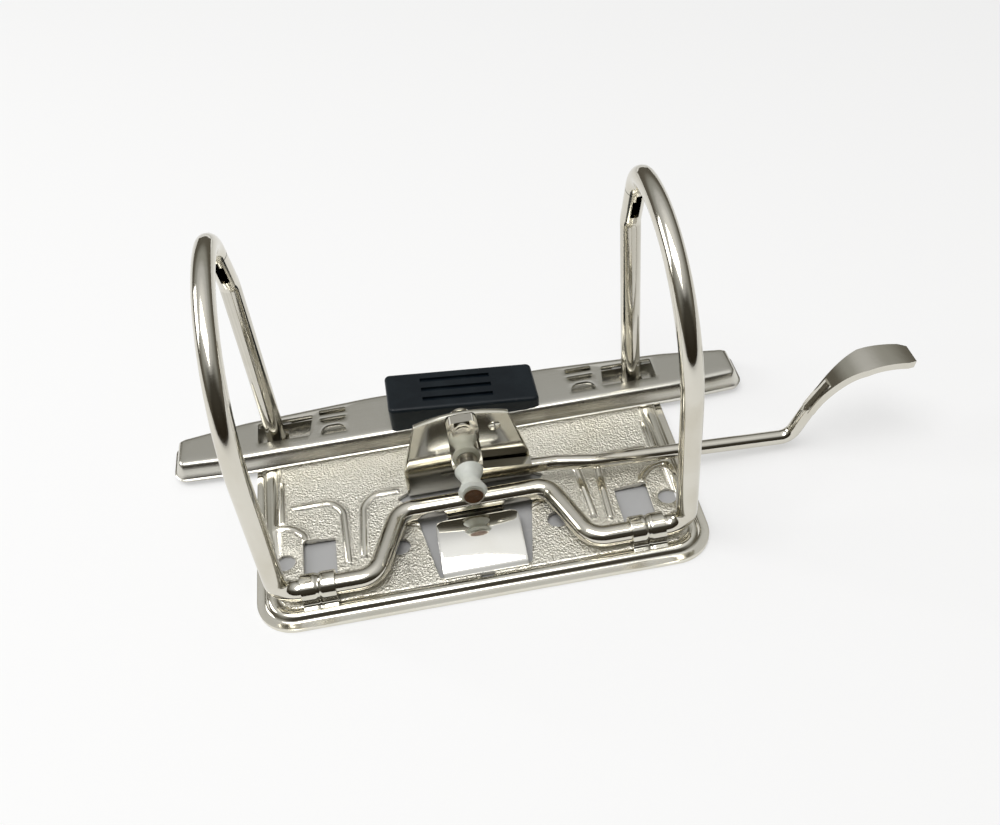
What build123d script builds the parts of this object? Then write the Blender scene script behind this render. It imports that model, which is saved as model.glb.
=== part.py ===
"""Lever arch mechanism for a filing binder, with a compressor bar.

Millimetres, +Z up. The origin is the middle of the four mounting holes, on the
underside of the base plate. +X runs along the hinge towards the lever's paddle,
-Y is the side where the arches are hinged.
"""
from build123d import *
import math
import os

os.makedirs("parts", exist_ok=True)

# ---- driving sizes: the plate and the two rows of holes ----------------------
hole_spacing = 80.0        # between the two posts, the standard filing pitch
plate_side_margin = 4.8    # from the posts to the plate's ends
plate_depth = 60.4         # along Y
plate_corner = 8.0
sheet = 0.8                # steel sheet of the base plate
pan_rise = 0.4             # how far the textured pan is pressed up
crest_rise = 1.0           # how far the border bead is pressed up
lip_width = 1.6            # flat lip outside the bead
bead_width = 3.0           # from the foot of the bead to the pan
bead_draft = 40.0          # slope of the bead's walls, degrees
rivet_inset_x = 0.9        # mounting holes, inside the posts' lines
rivet_span_y = 40.2
rivet_hole_r = 2.0
rivet_boss_r = 3.0
locating_hole_x = 16.0     # two round holes beside the leaf spring
locating_hole_ahead = 35.9
locating_hole_r = 2.1
rib_width = 1.8            # ribs pressed up from the pan
rib_rise = 0.55
rib_shoulder = 0.4
rib_groove = 0.8           # the groove left under each rib
rib_bend_r = 2.5
plate_front_margin = 16.8  # from the front mounting holes to the front edge

post_back = 14.5           # posts' row, behind the middle of the mounting holes
post_r = 2.1
post_wall = 0.6
post_collar_r = 3.0
post_collar_h = 0.5
post_seat_gap = 0.2
fit_gap = 0.05             # radial clearance of a shaft that turns
seat_gap = 0.05            # between a loose part and what it lies on

# ---- arch wire ---------------------------------------------------------------
wire_r = 2.1
hinge_ahead = 44.4         # hinge axis in front of the posts' row
hinge_rise = 0.3           # free room under the hinge wire
arch_r = 28.0              # big curve of the arch
arch_centre_rise = 29.9    # centre of the big curve above the hinge
crown_r = 8.7              # tighter curve down to the tip
crown_start = 78.8         # degrees round the big curve where it starts
nose_tilt = 24.2           # lean of the tip and of the post's mouth, degrees
nose_len = 1.0
mouth_gap = 0.2            # between the arch's shoulder and the post's mouth
tip_r = 0.75               # reduced pin that enters the post
tip_len = 4.2
tip_slot = 1.7             # slot in the post's front face
tip_slot_len = 7.2
foot_bend_r = 4.0          # from the hinge up into the arch
yoke_ahead = 29.0          # straight bar of the yoke, in front of the posts
yoke_outer_x = 21.2        # where the yoke's leg leaves the hinge line
yoke_inner_x = 15.2        # where it reaches the straight bar
yoke_outer_r = 4.5
yoke_inner_r = 4.0

# ---- hinge clips, formed from the plate --------------------------------------
clip_outer_inset = 4.5     # inside the posts' lines
clip_w = 6.7
clip_sheet = 0.8
clip_gap = 0.06
clip_window_back = 30.5    # rear edge of the clip's window, ahead of the posts
clip_flap = 0.9            # free end in front of the barrel
clip_groove = 0.2
clip_groove_w = 1.1

# ---- bearing bracket ---------------------------------------------------------
bracket_ahead = 23.0       # its front face, ahead of the posts
bracket_foot = 26.0        # width at the foot
bracket_shoulder_z = 8.4
bracket_top = 19.0         # width at the top
bracket_top_z = 20.4
bracket_crown = 1.9
bracket_hole_r = 1.65
blank_front = 45.6         # front edge of the hole that its blank leaves
blank_relief = 2.6         # extra width of that hole beside the foot
nib_x = 6.5                # pyramid nib beside the rivet
nib_z = 17.6
nib_w = 2.4
nib_h = 0.5

# ---- lever -------------------------------------------------------------------
pivot_z = 20.2
washer_t = 0.4
head_t = 2.2               # flattened head
head_w = 6.2
head_top_r = 3.1
head_flat = 2.3            # from the pivot up to the head's flat top
side_gap = 0.05            # beside the washer and the head
crank_r = 9.6              # rivet to roller pin
arm_r = 1.5
arm_ahead = 25.8           # round arm, ahead of the posts
arm_root_x = 13.0
arm_root_z = 6.0
arm_out_x = 26.0
arm_elbow_out = 27.6       # elbow of the arm, outside the posts' line
arm_elbow_z = 2.75
paddle_t = 1.5
paddle_w = 6.6
paddle_len = 23.4          # from the elbow to the tip
paddle_top_z = 20.6

rivet_r = 1.6
washer_r = 2.2             # inside the head's flat top
rivet_head_r = 2.2
rivet_head_t = 0.6
rivet_dimple_r = 1.65

# ---- roller ------------------------------------------------------------------
pin_r = 1.25
pin_collar_r = 2.0
pin_collar_t = 1.3
pin_face_r = 2.15
pin_face_t = 0.7
roller_flange_r = 2.9
roller_waist_r = 1.9
roller_len = 6.8
roller_rim = 0.6
roller_face_r = 2.2

# ---- leaf spring -------------------------------------------------------------
spring_t = 0.45
spring_w = 16.8
spring_tongue_w = 12.6
spring_front = 46.6        # ahead of the posts
spring_bend = 33.4
spring_bend_z = 3.3
spring_crown = 1.1
spring_end = 27.6
yoke_spring_gap = 0.3

# ---- compressor bar ----------------------------------------------------------
bar_overhang = 22.0        # from the posts to the bar's ends
bar_shift = 0.7            # play along X: the bar stands off centre
bar_front = 7.2            # top face, ahead of the posts
bar_back = 6.0             # top face, behind the posts
bar_back_end = 1.8
bar_taper_x = 20.0
bar_shoulder_out = 7.0
bar_shoulder_back = 4.4
bar_corner = 2.2
bar_h = 3.4
bar_sheet = 0.7
bar_flare = 20.0           # slope of the flanges, degrees
window_inward = 7.8        # window round a post, from the post's axis
window_outward = 4.4
window_front = 3.6
window_back = 2.8
slot_inward = 9.2          # the three slots beside the window
slot_w = 5.9
slot_rows = ((1.9, 3.9), (-0.3, 1.1), (-4.1, -1.1))
bar_travel = 38.0

slide_t = 0.6
slide_drop = 2.7           # slide's top below the bar's top face
slide_end = 6.2            # from the posts to the slide's ends
slide_side_gap = 0.25
slide_post_gap = 0.12
slide_travel = 0.29

# ---- grip --------------------------------------------------------------------
grip_left_x = -15.2        # from the bar's middle
grip_right_x = 17.4
grip_front = 6.9
grip_back = 5.2
grip_left_h = 6.0
grip_right_h = 2.6
grip_corner = 0.8
grip_end_r = 1.2
groove_len = 15.4
groove_w = 1.3
groove_depth = 0.6
groove_pitch = 3.1
grip_pin_r = 0.7
grip_pin_x = 15.0
grip_pin_drop = 1.6        # pin's axis below the bar's top face
lug_w = 5.0
lug_r = 1.35
lug_toe = 1.9
lug_toe_half = 0.9
toe_room = 0.35
lug_room = 0.6
heel_relief = 14.0         # underside behind the grip's pin, degrees

# ---- places that follow ------------------------------------------------------
post_x = hole_spacing / 2
post_y = post_back
plate_length = hole_spacing + 2 * plate_side_margin
rivet_span_x = hole_spacing - 2 * rivet_inset_x
front_y = -rivet_span_y / 2 - plate_front_margin
back_y = front_y + plate_depth
pan_top = pan_rise + sheet
crest_top = crest_rise + sheet
hinge_z = pan_top + hinge_rise + wire_r
clip_outer_x = post_x - clip_outer_inset
clip_inner_x = clip_outer_x - clip_w
arm_elbow_x = post_x + arm_elbow_out
paddle_tip_x = arm_elbow_x + paddle_len
bar_half = post_x + bar_overhang
bar_shoulder_x = post_x + bar_shoulder_out
slide_half = post_x + slide_end
hinge_y = post_y - hinge_ahead
yoke_y = post_y - yoke_ahead
arch_cy = hinge_y + arch_r
arch_cz = hinge_z + arch_centre_rise
bracket_y = post_y - bracket_ahead
head_back_y = bracket_y - washer_t - 2 * side_gap
head_front_y = head_back_y - head_t
head_mid_y = (head_back_y + head_front_y) / 2
arm_y = post_y - arm_ahead
pin_z = pivot_z - crank_r
bar_top = crest_top + seat_gap + bar_h
tilt = math.radians(nose_tilt)
nose_dir = (math.sin(tilt), -math.cos(tilt))


UPWARD = (Align.CENTER, Align.CENTER, Align.MIN)


def arch_points():
    """Start and middle points of the arch's curves, as (y, z), hinge to mouth."""
    start = math.radians(crown_start)
    crown_cy = arch_cy + (arch_r - crown_r) * math.cos(start)
    crown_cz = arch_cz + (arch_r - crown_r) * math.sin(start)
    join = (arch_cy + arch_r * math.cos(start), arch_cz + arch_r * math.sin(start))
    mid = (start + math.pi) / 2
    big_mid = (arch_cy + arch_r * math.cos(mid), arch_cz + arch_r * math.sin(mid))
    half = (start + tilt) / 2
    crown_mid = (crown_cy + crown_r * math.cos(half), crown_cz + crown_r * math.sin(half))
    crown_end = (crown_cy + crown_r * math.cos(tilt), crown_cz + crown_r * math.sin(tilt))
    mouth = (crown_end[0] + nose_len * nose_dir[0], crown_end[1] + nose_len * nose_dir[1])
    return big_mid, join, crown_mid, crown_end, mouth


mouth_y, mouth_z = arch_points()[-1]
kink_z = mouth_z - (post_y - mouth_y) / math.tan(tilt)


def box(x0, x1, y0, y1, z0, z1):
    """A block given by its two corners."""
    centre = ((x0 + x1) / 2, (y0 + y1) / 2, (z0 + z1) / 2)
    return Pos(*centre) * Box(x1 - x0, y1 - y0, z1 - z0)


def rod(r, start, end):
    """A round rod between two points."""
    axis = Vector(*end) - Vector(*start)
    return Plane(origin=start, z_dir=axis) * Cylinder(
        r, axis.length, align=UPWARD)


def outline(inset, corner):
    """The plate's outline, moved in by inset."""
    w = plate_length - 2 * inset
    d = plate_depth - 2 * inset
    return Pos(0, (front_y + back_y) / 2) * RectangleRounded(w, d, corner)


def both_sides(shape):
    """The shape and its mirror image across X = 0."""
    return [shape, mirror(shape, about=Plane.YZ)]


def strip(points, width):
    """A flat band of the given width along a line of points, with round corners and ends."""
    band = trace(FilletPolyline(*points, radius=rib_bend_r), width)
    for end in (points[0], points[-1]):
        band += Pos(*end) * Circle(width / 2)
    return band


def rib(points):
    """One rib pressed up from the pan, with its round shoulders."""
    body = Pos(0, 0, pan_rise) * extrude(strip(points, rib_width), sheet + rib_rise)
    top = body.faces().sort_by(Axis.Z)[-1]
    return fillet(top.edges(), rib_shoulder)


def rib_lines():
    """The embossed ribs of the pan on the -X side."""
    top = post_y - 20.8
    edge = -post_x
    panel = [(edge + 2.8, top), (edge + 10.8, top), (edge + 13.2, top - 3.0), (edge + 13.6, top - 17.0)]
    foot = -yoke_inner_x
    inner = [(foot - 0.2, top), (foot - 5.2, top), (foot - 7.4, top - 2.6), (foot - 8.1, top - 16.0)]
    side = [(edge + 0.4, post_y - 13.0), (edge + 0.4, post_y - 24.6), (edge + 2.6, post_y - 29.6)]
    return [panel, inner, side]


def base_plate():
    """The stamped plate, with its hinge clips and bearing bracket in one piece."""
    body = extrude(outline(0, plate_corner), sheet)
    bead = extrude(outline(lip_width, plate_corner - lip_width), crest_top, taper=bead_draft)
    body += bead
    inner = lip_width + bead_width
    corner = plate_corner - lip_width - 1.5
    basin = Pos(0, 0, pan_top) * extrude(outline(inner, corner), crest_top, taper=-bead_draft)
    body -= basin
    # underside: hollow behind the pan and the bead, one sheet below the top
    hollow = extrude(outline(lip_width + sheet, corner), pan_rise)
    body -= hollow
    ring = extrude(outline(lip_width + sheet * 1.1, corner), crest_rise, taper=bead_draft)
    ring -= extrude(outline(inner - 0.2, corner), crest_rise)
    body -= ring

    for line in rib_lines():
        for pressed in both_sides(rib(line)):
            body += pressed
        for groove in both_sides(extrude(strip(line, rib_groove), pan_rise + rib_rise)):
            body -= groove

    # bosses and holes
    for x in (-rivet_span_x / 2, rivet_span_x / 2):
        for y in (-rivet_span_y / 2, rivet_span_y / 2):
            body += Pos(x, y, 0) * Cylinder(rivet_boss_r, sheet, align=UPWARD)
            if y < 0:
                recess = Cylinder(rivet_boss_r - 0.6, pan_top, align=UPWARD)
                body -= Pos(x, y, sheet) * recess
            body -= Pos(x, y, 0) * Cylinder(rivet_hole_r, 4 * sheet)
        side = math.copysign(post_x, x)
        seat = post_collar_r + post_seat_gap
        body += Pos(side, post_y, pan_rise) * Cylinder(seat, sheet, align=UPWARD)
        body -= Pos(side, post_y, pan_top) * Cylinder(seat, 4 * sheet, align=UPWARD)
        body -= Pos(side, post_y, 0) * Cylinder(post_r, 4 * sheet)
    for x in (-locating_hole_x, locating_hole_x):
        body -= Pos(x, post_y - locating_hole_ahead, 0) * Cylinder(locating_hole_r, 4 * sheet)

    body -= blank_hole()
    body += bearing_bracket()
    for clip_cut in both_sides(clip_window()):
        body -= clip_cut
    for clip in both_sides(hinge_clip()):
        body += clip
    return body


def blank_hole():
    """The hole that the bracket's blank leaves in the pan."""
    foot = bracket_foot / 2
    top = bracket_top / 2
    tip_y = post_y - blank_front
    points = [(-foot - blank_relief, bracket_y), (-foot, bracket_y - 2.6),
              (-foot + 1.4, bracket_y - bracket_shoulder_z), (-top + 0.4, tip_y), (top - 0.4, tip_y),
              (foot - 1.4, bracket_y - bracket_shoulder_z), (foot, bracket_y - 2.6),
              (foot + blank_relief, bracket_y)]
    face = make_face(Polyline(*points, close=True))
    return extrude(face, 4 * sheet, both=True)


def bearing_bracket():
    """The tongue bent up from the pan, which carries the lever's rivet."""
    foot = bracket_foot / 2
    top = bracket_top / 2
    crown = ThreePointArc((top, bracket_top_z), (0, bracket_top_z + bracket_crown), (-top, bracket_top_z))
    sides = Polyline((-top, bracket_top_z), (-foot, bracket_shoulder_z), (-foot, pan_rise),
                     (foot, pan_rise), (foot, bracket_shoulder_z), (top, bracket_top_z))
    plate = Plane.XZ * make_face(crown + sides)
    tongue = Pos(0, bracket_y + sheet, 0) * extrude(plate, sheet)
    bend = box(-foot, foot, bracket_y, bracket_y + 2 * sheet, pan_rise, pan_top + sheet)
    bend -= rod(sheet, (-foot - 1, bracket_y + 2 * sheet, pan_top + sheet),
                (foot + 1, bracket_y + 2 * sheet, pan_top + sheet))
    tongue += bend
    shave = box(-foot - 1, foot + 1, bracket_y - 1, bracket_y + sheet, pan_rise - 1, pan_rise + sheet)
    shave -= rod(sheet, (-foot - 1, bracket_y + sheet, pan_rise + sheet),
                 (foot + 1, bracket_y + sheet, pan_rise + sheet))
    tongue -= shave
    tongue -= rod(bracket_hole_r, (0, bracket_y - 2, pivot_z), (0, bracket_y + 3, pivot_z))
    nib = Plane(origin=(nib_x, bracket_y, nib_z), z_dir=(0, -1, 0)) * extrude(
        Rectangle(nib_w, nib_w), nib_h, taper=60)
    return tongue + nib


def clip_window():
    """The window beside each clip."""
    y0 = hinge_y + wire_r + clip_gap + clip_sheet
    return box(-clip_outer_x, -clip_inner_x, y0, post_y - clip_window_back, -1, 4)


def hinge_clip():
    """A tongue of the pan rolled over the hinge wire, its free end in front."""
    width = clip_outer_x - clip_inner_x
    inner = wire_r + clip_gap
    outer = inner + clip_sheet
    at = Plane(origin=(-clip_outer_x, hinge_y, hinge_z), x_dir=(0, 1, 0), z_dir=(1, 0, 0))
    ring = extrude(Circle(outer), width)
    drop = hinge_z - pan_rise
    ring += Pos(0, -drop / 2, width / 2) * Box(2 * outer, drop, width)
    ring -= extrude(Circle(inner), width)
    ring -= Pos(0, -drop / 2, width / 2) * Box(2 * inner, drop, width)
    front_end = drop - sheet - seat_gap
    ring -= Pos(-outer, -front_end - 2, width / 2) * Box(2 * outer, 4, width)
    flap = Pos(-inner - (clip_sheet + clip_flap) / 2, -front_end + clip_sheet / 2, width / 2) * Box(
        clip_sheet + clip_flap, clip_sheet, width - 1.6)
    ring += flap
    pinch = extrude(Circle(outer + 1) - Circle(outer - clip_groove), clip_groove_w)
    ring -= Pos(0, 0, (width - clip_groove_w) / 2) * pinch
    return at * ring


def post(side):
    """One fixed post: a steel tube, its mouth leaning towards the arch."""
    x = side * post_x
    bend = 5.0
    foot = Vector(x, post_y, 0)
    kink = Vector(x, post_y, kink_z)
    lean = Vector(0, -math.sin(tilt), math.cos(tilt))
    mouth = Vector(x, mouth_y, mouth_z) - lean * mouth_gap
    path = FilletPolyline(foot, kink, mouth, radius=bend)
    tube = sweep(Plane.XY.offset(0) * Pos(x, post_y) * Circle(post_r), path)
    bore = sweep(Pos(x, post_y) * Circle(post_r - post_wall), path)
    tube += Pos(x, post_y, pan_top) * Cylinder(post_collar_r, post_collar_h,
                                               align=UPWARD)
    tube -= bore
    slot_plane = Plane(origin=mouth, x_dir=(1, 0, 0), z_dir=lean)
    slot = Pos(0, -post_r, -tip_slot_len / 2 + 0.5) * Box(tip_slot, 2 * post_r, tip_slot_len + 1)
    slot = slot_plane * slot
    return tube - slot


def arch_wire():
    """Both arches, the hinge length and the yoke, bent from one wire."""
    big_mid, join, crown_mid, crown_end, mouth = arch_points()

    def arch(side):
        x = side * post_x
        line = [Line((x, mouth[0], mouth[1]), (x, *crown_end)),
                ThreePointArc((x, *crown_end), (x, *crown_mid), (x, *join)),
                ThreePointArc((x, *join), (x, *big_mid), (x, hinge_y, arch_cz)),
                Line((x, hinge_y, arch_cz), (x, hinge_y, hinge_z + foot_bend_r))]
        tip_plane = Plane(origin=(x, *mouth), z_dir=(0, *nose_dir))
        wire = sweep(tip_plane * Circle(wire_r), Wire(line))
        tip = tip_plane * Cylinder(tip_r, tip_len, align=UPWARD)
        return wire + chamfer_end(tip, tip_plane)

    def chamfer_end(tip, plane):
        far = plane * Pos(0, 0, tip_len)
        edges = tip.edges().filter_by(GeomType.CIRCLE)
        last = max(edges, key=lambda e: (e.center() - plane.origin).length)
        return chamfer(last, tip_r * 0.4)

    s = foot_bend_r * (1 - math.sqrt(0.5))
    corners = [(-yoke_outer_x, hinge_y), (-yoke_inner_x, yoke_y)]
    corners += [(yoke_inner_x, yoke_y), (yoke_outer_x, hinge_y)]
    inner = [(-post_x + foot_bend_r, hinge_y)] + corners + [(post_x - foot_bend_r, hinge_y)]
    radii = [yoke_outer_r, yoke_inner_r, yoke_inner_r, yoke_outer_r]
    yoke_line = FilletPolyline(*[(x, y, hinge_z) for x, y in inner], radius=radii)
    bends = []
    for side in (-1, 1):
        x = side * post_x
        bends.append(ThreePointArc((x, hinge_y, hinge_z + foot_bend_r),
                                   (x - side * s, hinge_y, hinge_z + s),
                                   (x - side * foot_bend_r, hinge_y, hinge_z)))
    start = Plane(origin=(-post_x, hinge_y, hinge_z + foot_bend_r), z_dir=(0, 0, -1))
    low = sweep(start * Circle(wire_r), Wire([bends[0]] + list(yoke_line.edges()) + [bends[1]]))
    return arch(-1) + low + arch(1)


def lever():
    """Flattened head, round arm and flat paddle, forged from one rod."""
    # head in the XZ plane, local z runs to -Y
    at = Plane(origin=(0, head_back_y, 0), x_dir=(1, 0, 0), z_dir=(0, -1, 0))
    half = head_w / 2
    foot_z = pin_z - half
    plan = Pos(0, pivot_z) * Circle(head_top_r)
    above = head_top_r - head_flat
    plan -= Pos(0, pivot_z + head_flat + above) * Rectangle(head_w, 2 * above)
    plan += Pos(0, (pivot_z + pin_z) / 2) * Rectangle(head_w, pivot_z - pin_z)
    plan += Pos(0, pin_z) * Circle(half)
    arm_top = arm_root_z + arm_r + 0.2
    arm_low = arm_root_z - arm_r + 0.2
    root = Polyline((0, arm_low + 0.9), (arm_root_x, arm_low), (arm_root_x, arm_top), (half, arm_top + 0.9),
                    (half, pin_z), (0, pin_z), close=True)
    plan += make_face(root)
    plan -= Pos(half + 0.7, (pivot_z + pin_z) / 2 + 0.4) * Circle(1.7)
    head = at * extrude(plan, head_t)
    head -= rod(rivet_r + fit_gap, (0, head_back_y + 1, pivot_z), (0, head_front_y - 1, pivot_z))
    head -= rod(pin_r, (0, head_back_y + 1, pin_z), (0, head_front_y - 1, pin_z))

    slope = (arm_elbow_z - arm_root_z) / (arm_elbow_x - arm_root_x)
    out_z = arm_root_z + slope * (arm_out_x - arm_root_x)
    rise = [(arm_elbow_x + 3.4, 9.6), (arm_elbow_x + 7.6, 16.0)]
    pts = [(arm_root_x - 1.0, head_mid_y, arm_root_z + 0.05),
           (arm_root_x + 5.0, head_mid_y, arm_root_z + slope * 5),
           (arm_out_x, arm_y, out_z), (arm_elbow_x, arm_y, arm_elbow_z),
           (rise[0][0], arm_y, rise[0][1]), (rise[1][0], arm_y, rise[1][1])]
    arm_line = FilletPolyline(*pts, radius=[6, 12, 3.2, 9])
    arm = sweep(Plane(origin=pts[0], z_dir=(1, 0, 0)) * Circle(arm_r), arm_line)
    arm -= box(-5, arm_root_x + 3, head_back_y, head_back_y + 5, 0, 20)
    arm -= box(-5, arm_root_x + 3, head_front_y - 5, head_front_y, 0, 20)
    return head + arm + paddle(rise)


def paddle(rise):
    """The thumb paddle, a flat ribbon curving over to the tip."""
    top = paddle_top_z
    wide_x = paddle_tip_x - 10.0
    spine = [rise[0], rise[1], (wide_x - 0.8, top - 0.7), (wide_x + 4.6, top), (paddle_tip_x, top - 0.9)]
    line = Spline(*spine)
    ribbon = trace(line, paddle_t)
    solid = Pos(0, arm_y + paddle_w / 2, 0) * extrude(Plane.XZ * ribbon, paddle_w)
    w = paddle_w / 2
    x0 = rise[0][0] - 1
    half_plan = [(x0, arm_r), (x0 + 3, arm_r), (wide_x, w)]
    half_plan += [(paddle_tip_x - 1.6, w - 0.3), (paddle_tip_x + 1, w - 1.2)]
    plan = Polyline(*[(x, -y) for x, y in half_plan], *reversed(half_plan), close=True)
    cutter = Pos(0, arm_y, 0) * extrude(make_face(plan), 30)
    return solid & cutter


def washer():
    """Spacer ring between the bracket and the lever."""
    ring = rod(washer_r, (0, bracket_y - side_gap, pivot_z), (0, bracket_y - side_gap - washer_t, pivot_z))
    return ring - rod(rivet_r + fit_gap, (0, bracket_y + 1, pivot_z), (0, bracket_y - 3, pivot_z))


def pivot_rivet():
    """Rivet through the bracket, the spacer and the lever's head."""
    back = bracket_y + sheet
    front = head_front_y - side_gap
    shank = rod(rivet_r, (0, back, pivot_z), (0, front, pivot_z))
    head = rod(rivet_head_r, (0, front, pivot_z), (0, front - rivet_head_t, pivot_z))
    tail = rod(rivet_head_r, (0, back + seat_gap, pivot_z), (0, back + seat_gap + rivet_head_t, pivot_z))
    neck = rod(rivet_r, (0, back - 0.1, pivot_z), (0, back + seat_gap + 0.1, pivot_z))
    face_y = front - rivet_head_t
    dimple = rod(rivet_dimple_r, (0, face_y, pivot_z), (0, face_y - 0.2, pivot_z))
    dimple += rod(rivet_dimple_r - 0.25, (0, face_y + 0.3, pivot_z), (0, face_y, pivot_z))
    return shank + head + tail + neck + dimple


roller_back_y = head_front_y - pin_collar_t - side_gap
roller_front_y = roller_back_y - roller_len


def roller_pin():
    """Pin riveted into the lever's head, with a flared end that keeps the roller on."""
    end = roller_front_y - side_gap
    pin = rod(pin_r, (0, head_back_y, pin_z), (0, end - pin_face_t, pin_z))
    pin += rod(pin_collar_r, (0, head_front_y, pin_z), (0, head_front_y - pin_collar_t, pin_z))
    neck = Plane(origin=(0, end, pin_z), z_dir=(0, -1, 0)) * Cone(
        pin_r + 0.35, pin_face_r, pin_face_t, align=UPWARD)
    return pin + neck


def roller():
    """Hourglass roller that runs along the yoke."""
    half = roller_len / 2
    rim = half - roller_rim
    bore = pin_r + fit_gap
    right = Polyline((bore, -half), (roller_face_r, -half), (roller_flange_r, -rim))
    waist = Spline((roller_flange_r, -rim), (roller_waist_r, 0), (roller_flange_r, rim),
                   tangents=[(-0.35, 1), (0.35, 1)])
    left = Polyline((roller_flange_r, rim), (roller_face_r, half), (bore, half), (bore, -half))
    profile = make_face(right + waist + left)
    body = revolve(profile, axis=Axis.Y)
    return Pos(0, (roller_back_y + roller_front_y) / 2, pin_z) * body


def leaf_spring():
    """Bright leaf spring: hooked at the front, its tongue bearing up under the yoke."""
    z0 = pan_top + seat_gap + spring_t / 2
    front = post_y - spring_front
    bend = post_y - spring_bend
    end = post_y - spring_end
    low = hinge_z - wire_r - yoke_spring_gap - spring_t / 2
    mid_y = (front + bend) / 2
    mid_z = (z0 + spring_bend_z) / 2 + spring_crown
    leaf_line = ThreePointArc((front + 1.6, z0), (mid_y, mid_z), (bend, spring_bend_z))
    foot_line = Line((front, z0), (front + 1.6, z0))
    tongue_line = Spline((bend, spring_bend_z), (bend + 3.1, low + 0.25), (end, low))
    leaf = trace(foot_line + leaf_line, spring_t)
    tongue = trace(tongue_line, spring_t)
    half = spring_w / 2
    at = Plane(origin=(-half, 0, 0), x_dir=(0, 1, 0), z_dir=(1, 0, 0))
    sheet_leaf = at * extrude(leaf, spring_w)
    inset = (spring_w - spring_tongue_w) / 2
    tongue_at = Plane(origin=(-half + inset, 0, 0), x_dir=(0, 1, 0), z_dir=(1, 0, 0))
    body = sheet_leaf + tongue_at * extrude(tongue, spring_tongue_w)
    body -= box(-1.7, 1.7, front - 1, front + 0.8, 0, 5)
    return body


def bar_outline(grow=0.0):
    """Plan of the bar's top face."""
    b = bar_half + grow
    front = -bar_front - grow
    points = [(-b, front + 0.8), (-bar_shoulder_x, front), (bar_shoulder_x, front), (b, front + 0.8),
              (b, bar_back_end + grow), (bar_shoulder_x, bar_shoulder_back + grow),
              (bar_taper_x, bar_back + grow), (-bar_taper_x, bar_back + grow),
              (-bar_shoulder_x, bar_shoulder_back + grow), (-b, bar_back_end + grow)]
    face = make_face(Polyline(*points, close=True))
    ends = [v for v in face.vertices() if abs(v.X) > bar_half - 0.1 + grow]
    return Pos(bar_shift, post_y) * fillet(ends, bar_corner + max(grow, -1.0))


def compressor_bar():
    """Pressed channel that slides on the posts and holds the sheets down."""
    body = Pos(0, 0, bar_top) * mirror(extrude(bar_outline(), bar_h, taper=-bar_flare), about=Plane.XY)
    inner = Pos(0, 0, bar_top - bar_sheet) * mirror(
        extrude(bar_outline(-bar_sheet * 0.7), bar_h, taper=-bar_flare), about=Plane.XY)
    body -= inner
    for side in (-1, 1):
        near = side * (post_x - window_inward) + bar_shift
        far = side * (post_x + window_outward) + bar_shift
        body -= box(min(near, far), max(near, far), post_y - window_front, post_y + window_back,
                    bar_top - 2, bar_top + 1)
        near = side * (post_x - slot_inward - slot_w) + bar_shift
        far = side * (post_x - slot_inward) + bar_shift
        for y0, y1 in slot_rows:
            body -= box(min(near, far), max(near, far), post_y + y0, post_y + y1, bar_top - 2, bar_top + 1)
    pin_x = grip_pin_x + bar_shift
    body -= box(pin_x - lug_r - lug_room, pin_x + lug_r + lug_room, post_y - lug_w / 2 - 0.3,
                post_y + lug_w / 2 + 0.3, bar_top - 2, bar_top + 1)
    return body


def grip_pin():
    """Cross pin inside the bar, which the grip turns on."""
    z = bar_top - grip_pin_drop
    x = grip_pin_x + bar_shift
    spread = grip_pin_drop * math.tan(math.radians(bar_flare))
    y0 = post_y - bar_front - spread + bar_sheet + 0.35
    y1 = post_y + bar_back + spread - bar_sheet - 0.35
    return rod(grip_pin_r, (x, y0, z), (x, y1, z))


def locking_slide():
    """Flat strip inside the bar: its edges grip the posts."""
    z1 = bar_top - slide_drop
    z0 = z1 - slide_t
    spread = (slide_drop - bar_sheet) * math.tan(math.radians(bar_flare))
    y0 = post_y - bar_front - spread + bar_sheet + slide_side_gap
    y1 = post_y + bar_shoulder_back + spread - bar_sheet - slide_side_gap
    x = bar_shift
    body = box(x - slide_half, x + slide_half, y0, y1, z0, z1)
    for side in (-1, 1):
        px = side * post_x
        a = px - post_r - slide_post_gap
        b = px + post_r + slide_post_gap + slide_travel + 0.15
        body -= box(a, b, post_y - post_r - 0.5, post_y + post_r + 0.5, z0 - 1, z1 + 1)
    pin_x = grip_pin_x + bar_shift
    toe_half = lug_toe_half + toe_room
    toe_depth = lug_w / 2 + 0.4
    body -= box(pin_x - toe_half, pin_x + toe_half, post_y - toe_depth, post_y + toe_depth, z0 - 1, z1 + 1)
    return body


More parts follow.
